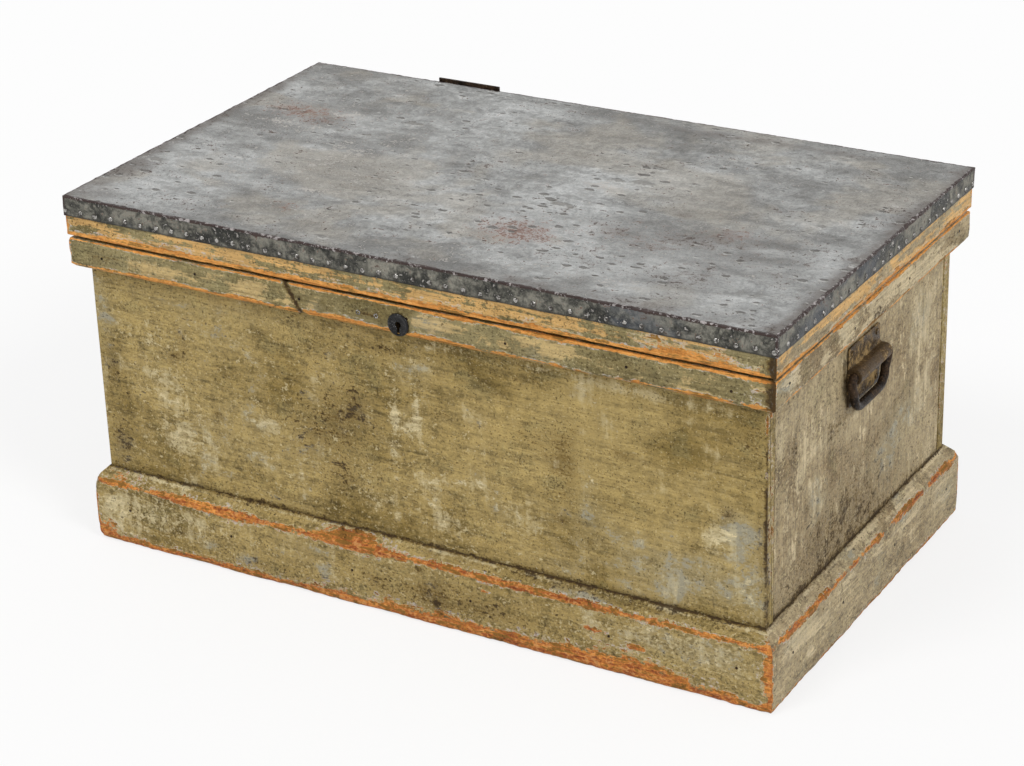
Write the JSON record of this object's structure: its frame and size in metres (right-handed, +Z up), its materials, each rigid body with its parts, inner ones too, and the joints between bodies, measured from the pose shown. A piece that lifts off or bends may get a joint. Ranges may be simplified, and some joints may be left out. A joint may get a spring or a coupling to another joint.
{
  "type": "tool chest",
  "caption": "Painted pine tool chest with a metal-clad hinged lid, base skirt, top band, key lock, iron lift rings on the ends and a sliding till inside.",
  "frame": {"origin": "on the floor under the middle of the carcase", "axes": "+X along the chest to the right as seen from the front, -Y the front with the keyhole, +Z up"},
  "size_m": [1.0162, 0.6096, 0.504],
  "materials": {
    "body_paint": "worn olive paint on pine",
    "band_paint": "worn olive and ochre paint on pine",
    "rim_paint": "worn ochre paint on pine",
    "bare_pine": "bare old pine",
    "sheet_metal": "dented weathered sheet metal",
    "iron": "dark rusty iron",
    "black_iron": "glossy black iron"
  },
  "bodies": {
    "chest": {"front_board": "body_paint", "back_board": "body_paint", "left_end": "body_paint", "right_end": "body_paint", "base_skirt_front": "body_paint", "base_skirt_back": "body_paint", "base_skirt_left": "body_paint", "base_skirt_right": "body_paint", "top_band_front": "band_paint", "top_band_back": "band_paint", "top_band_left": "band_paint", "top_band_right": "band_paint", "bottom_board_1": "bare_pine", "bottom_board_2": "bare_pine", "bottom_board_3": "bare_pine", "bottom_board_4": "bare_pine", "bottom_board_5": "bare_pine", "skid_front": "bare_pine", "skid_middle": "bare_pine", "skid_back": "bare_pine", "till_runner_left": "bare_pine", "till_runner_right": "bare_pine", "hinge_left_lower_leaf": "iron", "hinge_left_pin": "iron", "hinge_right_lower_leaf": "iron", "hinge_right_pin": "iron", "ring_plate_left": "iron", "ring_plate_right": "iron", "lock_case": "iron", "escutcheon": "black_iron"},
    "lid": {"lid_rim_front": "rim_paint", "lid_rim_back": "rim_paint", "lid_rim_left": "rim_paint", "lid_rim_right": "rim_paint", "lid_board_front": "bare_pine", "lid_board_middle": "bare_pine", "lid_board_rear": "bare_pine", "lid_sheet": "sheet_metal", "hinge_left_upper_leaf": "iron", "hinge_right_upper_leaf": "iron", "lock_staple": "iron"},
    "ring_left": {"lift_ring_left": "iron"},
    "ring_right": {"lift_ring_right": "iron"},
    "bolt": {"lock_bolt": "iron"},
    "till": {"till_bottom": "bare_pine", "till_front": "bare_pine", "till_back": "bare_pine", "till_left": "bare_pine", "till_right": "bare_pine"}
  },
  "joints": [
    {"name": "lid_hinge", "type": "hinge", "parent": "chest", "child": "lid", "pos_m": [0, 0.3046, 0.44175], "axis": [-1, 0, 0], "range_deg": [0, 105]},
    {"name": "ring_left_swing", "type": "hinge", "parent": "chest", "child": "ring_left", "pos_m": [-0.4973, -0.006, 0.345], "axis": [0, 1, 0], "range_deg": [0, 150]},
    {"name": "ring_right_swing", "type": "hinge", "parent": "chest", "child": "ring_right", "pos_m": [0.4973, -0.006, 0.345], "axis": [0, -1, 0], "range_deg": [0, 150]},
    {"name": "bolt_slide", "type": "slide", "parent": "chest", "child": "bolt", "axis": [1, 0, 0], "range_m": [0, 0.011]},
    {"name": "till_slide", "type": "slide", "parent": "chest", "child": "till", "axis": [0, -1, 0], "range_m": [0, 0.274]}
  ]
}
